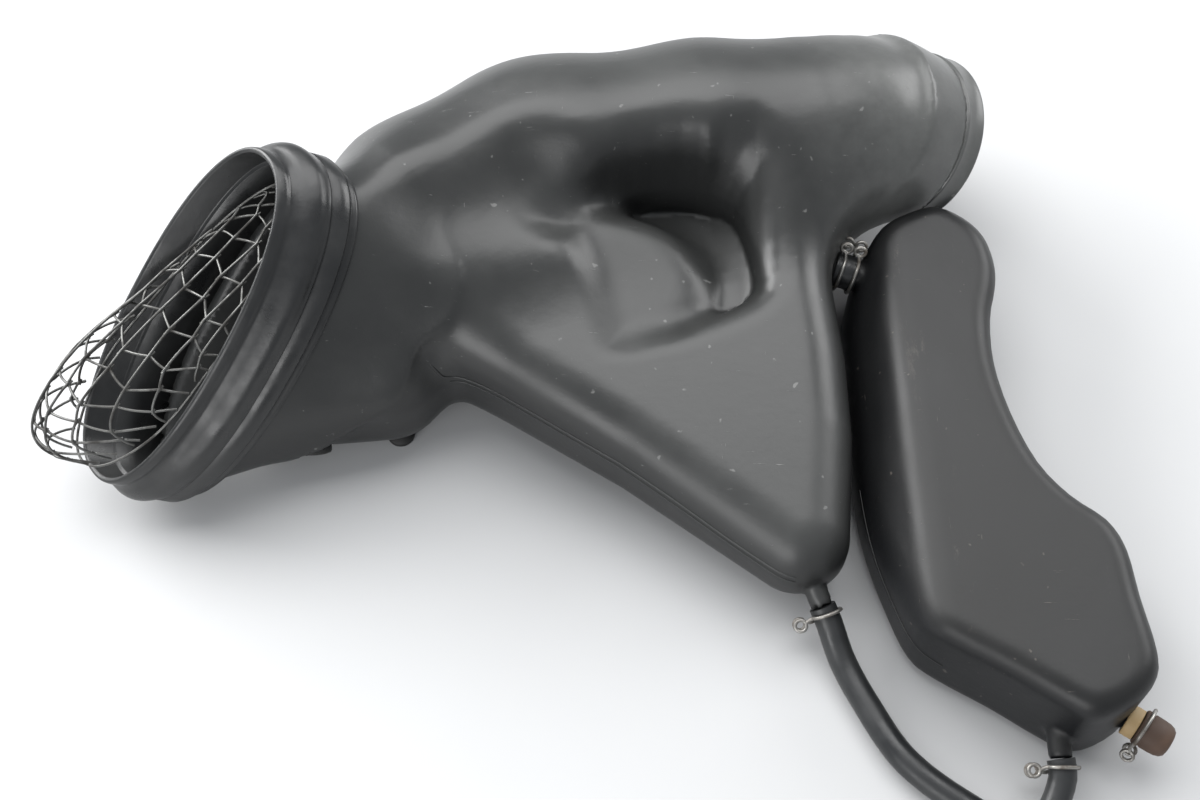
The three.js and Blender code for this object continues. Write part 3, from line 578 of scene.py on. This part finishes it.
def settle(field, vertices, times=2, limit=0.8):
    """Moves vertices onto the zero surface along its gradient."""
    step = 0.25
    for _ in range(times):
        x, y, z = vertices.T
        value = field(x, y, z)
        gradient = np.stack([
            field(x + step, y, z) - field(x - step, y, z),
            field(x, y + step, z) - field(x, y - step, z),
            field(x, y, z + step) - field(x, y, z - step),
        ], axis=1) / (2 * step)
        size = np.maximum((gradient ** 2).sum(1), 0.25)
        move = -value / size
        vertices = vertices + np.clip(move, -limit, limit)[:, None] * gradient
    return vertices


def field_piece(name, field, low, high, cell):
    vertices, quads = surface_nets(field, low, high, cell)
    vertices = settle(field, vertices)
    return mesh_piece(name, vertices, quads.tolist())


duct = field_piece("intake_duct", duct_shell, (-216, -104, -6), (178, 190, 128), FINE)
finish_piece(duct, "duct", duct_plastic, "duct_plastic", *DUCT_SECTIONS)
tank = field_piece("side_tank", tank_solid, (98, -160, -6), (222, 104, 60), FINE)
finish_piece(tank, "duct", tank_plastic, "tank_plastic", "tank_shell")


# ------------------------------------------------------------------ parting seams of the blown shells
def seam(name, field, places, radius, body, material, slot, *nodes):
    """Thin flash left by the mould, half sunk in the surface."""
    route = settle(field, catmull(places, 90), 8, 3.0)
    piece = wire(name, route, radius, resolution=2)
    return finish_piece(piece, body, material, slot, *nodes)


DUCT_SEAM = [(-94, 34, 42), (-77, 21, 42), (-63, 8, 42), (-50, 0, 42), (-30, -12, 42), (0, -31, 41),
             (25, -50, 40), (49, -72, 38), (77, -88, 36)]
TANK_SEAM = [(107, -36, 22), (112, -62, 22), (120, -92, 22), (134, -114, 22)]
seam("duct_parting_flash", duct_outer, DUCT_SEAM, 0.45, "duct", duct_plastic, "duct_plastic")
seam("duct_parting_flash_low", duct_outer, [(x, y - 1, z - 3.2) for x, y, z in DUCT_SEAM[2:]], 0.35,
     "duct", duct_plastic, "duct_plastic")
seam("tank_parting_flash", tank_solid, TANK_SEAM, 0.4, "duct", tank_plastic, "tank_plastic")


# ------------------------------------------------------------------ end of the outlet collar
collar_end = turned("outlet_collar_end", [
    (33.4, -13), (36.9, -13), (37.2, -12.4), (37.2, -11.6), (37.6, -11.3), (38.2, -11.0), (38.4, -10.5),
    (38.3, -9.6), (38.0, -9.0), (38.05, -2.2), (38.3, -1.6), (38.2, -0.9), (37.6, -0.3), (36.8, 0.0),
    (35.4, 0.0), (34.8, -0.3), (34.5, -0.9), (34.5, -10.0),
], *OUTLET, 128)
finish_piece(collar_end, "duct", duct_plastic, "duct_plastic", "outlet_collar")


# ------------------------------------------------------------------ oval seal
def oval_ring(name, profile, sides):
    """Loft round the neck: profile points are (half width, depth)."""
    rows = []
    for half, depth in profile:
        for j in range(sides):
            angle = 2 * math.pi * j / sides
            c, s = math.cos(angle), math.sin(angle)
            along = (half + HALF_LONG - HALF_SHORT) * math.copysign(abs(c) ** (2 / OVAL_POWER), c)
            across = half * math.copysign(abs(s) ** (2 / OVAL_POWER), s)
            rows.append(inlet_point(depth, along, across))
    return outward(mesh_piece(name, rows, grid_faces(len(profile), sides, True)))


def smooth_profile(points, count):
    """Closed profile kept crisp at doubled points and rounded elsewhere."""
    points = np.asarray(points, float)
    fine = catmull([(*p, 0) for p in points], count)
    return [(r, t) for r, t, _ in fine]


H = HALF_SHORT
seal_outside = smooth_profile([
    (H - 1.7, 0.1), (H - 0.9, -0.1), (H - 0.2, 0.4), (H + 0.1, 1.5), (H + 0.3, 3.4), (H - 0.1, 5.6),
    (H + 0.9, 7.4), (H + 3.2, 9.6), (H + 4.7, 11.8), (H + 5.2, 14), (H + 4.8, 16.2), (H + 4.1, 18.2),
    (H + 3.8, 19.6),
], 44)
seal_profile = seal_outside + [
    (H + 2.9, 19.9), (H + 2.9, 20.4), (H + 3.6, 20.7), (H + 3.7, 27.0), (H + 3.3, 28.0), (H + 2.2, 28.5),
    (H + 0.2, 28.9), (H - 0.3, 29.4), (H - 0.3, 31.6), (H + 0.1, 32.2), (H + 0.1, 33.6), (H - 0.4, 34.0),
    (H - 4.3, 34.0),
    (H - 4.3, 11.9), (H - 4.0, 11.7), (H - 2.7, 11.6), (H - 2.5, 11.2), (H - 2.5, 0.7), (H - 2.2, 0.3),
]
seal = oval_ring("mouth_seal", seal_profile, 176)
finish_piece(seal, "seal", seal_rubber, "seal_rubber", "inlet_seal_ring")


# ------------------------------------------------------------------ wire screen
FLAT_LONG = 92.0
FLAT_SHORT = 54.0


def screen_point(p, q):
    """Point of the dome: its rim sits deeper at the upper end of the oval."""
    reach = min(math.hypot(p / FLAT_LONG, q / FLAT_SHORT), 1)
    angle = math.atan2(q / FLAT_SHORT, p / FLAT_LONG)
    spread = math.sin(reach * math.pi / 2)
    near = min(max(-1.6 * math.cos(angle), 0), 1)
    near = near * near * (3 - 2 * near)
    along = (68.4 + 4.2 * near) * spread * math.cos(angle)
    across = (25.4 + 4.6 * near) * spread * math.sin(angle)
    height = (15.5 - 0.42 * along) * max(math.cos(reach * math.pi / 2), 0) ** 0.5
    return inlet_point(8 + 0.12 * along - height, along, across)


def screen_node(row, column):
    """Knots of the mesh on the flat sheet, a little uneven as hand-cut mesh is."""
    zigzag = 1.6 if (row + column) % 2 == 0 else -1.6
    uneven = 0.8 * math.sin(2.3 * row + 5.1 * column)
    drift = 0.7 * math.cos(3.7 * row + 1.3 * column)
    return np.array([11.5 * row + zigzag + uneven, 15 * column + 4.5 * row + drift])


def on_sheet(place):
    return math.hypot(place[0] / FLAT_LONG, place[1] / FLAT_SHORT) <= 0.985


screen_curve = bpy.data.curves.new("filter_screen", "CURVE")
screen_curve.dimensions = "3D"
screen_curve.bevel_depth = 0.55 * MM
screen_curve.bevel_resolution = 2
screen_curve.use_fill_caps = True
lift = INLET_NORMAL * 0.5
for row in range(-10, 11):
    for column in range(-9, 10):
        start = screen_node(row, column)
        for ahead in ((1, 0), (0, 1)):
            end = screen_node(row + ahead[0], column + ahead[1])
            if not (on_sheet(start) or on_sheet(end)):
                continue
            steps = np.linspace(-0.06, 1.06, 9)
            places = [start + (end - start) * s for s in steps]
            places = [p for p in places if on_sheet(p)]
            if len(places) >= 2:
                side = 1 if ahead == (1, 0) else -1
                add_spline(screen_curve, [screen_point(*p) + side * lift for p in places])
        if on_sheet(start):
            # the two strands are twisted round each other at each knot
            here, there = start + (-1.9, -0.5), start + (1.9, 0.5)
            add_spline(screen_curve, [screen_point(*here) + lift, screen_point(*there) - lift])
rim = [screen_point(0.99 * FLAT_LONG * math.cos(a), 0.99 * FLAT_SHORT * math.sin(a))
       for a in np.radians(np.arange(0, 361, 4))]
add_spline(screen_curve, rim)
screen = link(bpy.data.objects.new("filter_screen", screen_curve))
finish_piece(screen, "screen", screen_steel, "screen_wire", "screen_mesh")


# ------------------------------------------------------------------ small rubber pieces
grommet = turned("boss_grommet", [
    (3.4, -2.1), (8.8, -2.1), (9.0, -1.8), (9.0, 0.5), (8.7, 1.1), (7.9, 1.45), (6.4, 1.5), (5.6, 1.1),
    (5.2, 0.3), (4.6, 0.2), (4.2, 0.9), (3.7, 1.1), (3.4, 0.8),
], *GROMMET_SEAT, 56)
finish_piece(grommet, "duct", dark_rubber, "grommet_rubber", "mount_grommet")
foot = turned("rest_foot", [
    (0.01, 0.0), (4.9, 0.0), (5.3, 0.15), (5.7, 0.6), (5.95, 1.2), (6.0, 4.1), (0.01, 4.1),
], *FOOT_SEAT, 48, closed=False)
finish_piece(foot, "duct", dark_rubber, "grommet_rubber", "locating_foot")
link_hose = turned("link_tube", [
    (6.3, 15.3), (7.4, 15.2), (7.7, 15.5), (7.65, 16.2), (7.5, 17.0), (7.7, 18.3), (7.7, 22.2), (7.5, 23.4),
    (7.65, 24.6), (7.7, 25.2), (7.4, 25.6), (6.3, 25.6),
], *LINK_PORT, 48)
finish_piece(link_hose, "duct", hose_rubber, "hose_rubber", "link_hose")
sleeve = turned("drain_sleeve", [
    (4.3, 5.0), (6.0, 5.0), (6.4, 5.3), (6.3, 6.4), (6.45, 7.6), (6.3, 8.8), (6.4, 9.8), (6.1, 10.0),
    (4.3, 10.0),
], *CAP_DRAIN, 48)
finish_piece(sleeve, "duct", sleeve_rubber, "sleeve_rubber", "tank_drain_sleeve")
cap = turned("drain_end_cap", [
    (4.3, 10.3), (6.8, 10.3), (7.3, 10.8), (7.4, 12.0), (6.9, 12.6), (6.8, 13.4), (7.2, 14.2), (7.1, 17.6),
    (6.9, 20.0), (6.3, 21.8), (5.2, 23.0), (3.4, 23.45), (0.05, 23.5), (0.05, 17.6), (4.3, 17.6),
], *CAP_DRAIN, 56)
finish_piece(cap, "cap", cap_rubber, "cap_rubber", "drain_cap")


# ------------------------------------------------------------------ spring wire clips
def clip(name, port, along, radius, side, body, node):
    base, way = port
    centre = base + way * along
    side = np.asarray(side, float)
    out = unit(side - way * (side @ way))
    across = np.cross(way, out)
    ring = radius + 1.05
    turns = np.radians([0, 40, 80, 120, 160, 200, 240, 280, 320, 350])
    eye = [(ring + 4.6 - 2.3 * math.cos(t), 2.2, 2.3 * math.sin(t)) for t in turns][::-1]
    route = [(o, -a, w) for o, a, w in eye]
    for degrees in range(336, 23, -24):
        angle = math.radians(degrees)
        route.append((ring * math.cos(angle), ring * math.sin(angle), 1.2 - 2.4 * degrees / 360))
    route += [(o, a, -w) for o, a, w in eye[::-1]]
    points = catmull([centre + out * o + across * a + way * w for o, a, w in route], 130)
    piece = wire(name, points, 0.75, resolution=3)
    return finish_piece(piece, body, clip_steel, "clip_wire", node)


clip("link_wire_clip_a", LINK_PORT, 17.4, 7.7, (0, 0.4, 1), "duct", "link_clip_duct")
clip("link_wire_clip_b", LINK_PORT, 23.4, 7.7, (0, 0.4, 1), "duct", "link_clip_tank")
clip("drain_wire_clip_a", DUCT_DRAIN, 13, 5.5, (-1, 0, 0), "duct_drain_clip", "drain_clip_duct")
clip("drain_wire_clip_b", TANK_DRAIN, 12, 5.5, (-1, 0, 0), "tank_drain_clip", "drain_clip_tank")
clip("cap_wire_clip", CAP_DRAIN, 12.5, 7.4, (-0.3, -0.4, -0.8), "cap", "drain_cap_clip")


# ------------------------------------------------------------------ stage and light
TABLE_HALF = 3
floor_mesh = bpy.data.meshes.new("table_top")
corners = [(TABLE_HALF * x, TABLE_HALF * y, 0) for x, y in ((-1, -1), (1, -1), (1, 1), (-1, 1))]
floor_mesh.from_pydata(corners, [], [(0, 1, 2, 3)])
floor = link(bpy.data.objects.new("table_top", floor_mesh))
paper = Nodes("table_paint")
paper.set("Base Color", paper.mix(paper.noise(5, 5), (0.46, 0.463, 0.466), (0.49, 0.493, 0.496)))
paper.set("Roughness", 0.6)
floor.data.materials.append(paper.material)


def area_light(name, size, energy, location, aim):
    light = bpy.data.lights.new(name, "AREA")
    light.shape = "RECTANGLE"
    light.size, light.size_y = size
    light.energy = energy
    obj = link(bpy.data.objects.new(name, light))
    obj.location = location
    obj.rotation_euler = (Vector(aim) - Vector(location)).to_track_quat("-Z", "Y").to_euler()


area_light("soft_overhead", (1.7, 1.1), 24, (-0.10, 0.55, 1.35), (0, 0, 0))
area_light("soft_window", (1.7, 1.1), 66, (-1.5, 1.0, 0.85), (0, 0, 0))
area_light("soft_right", (1.2, 0.9), 20, (1.5, 0.9, 0.9), (0, 0, 0))
area_light("soft_front", (1.4, 0.8), 18, (-0.8, -1.6, 0.7), (0, 0, 0))
world = bpy.data.worlds.new("studio")
world.use_nodes = True
world.node_tree.nodes["Background"].inputs[0].default_value = (0.86, 0.90, 0.95, 1)
world.node_tree.nodes["Background"].inputs[1].default_value = 0.48
bpy.context.scene.world = world
bpy.context.scene.view_settings.view_transform = "Standard"
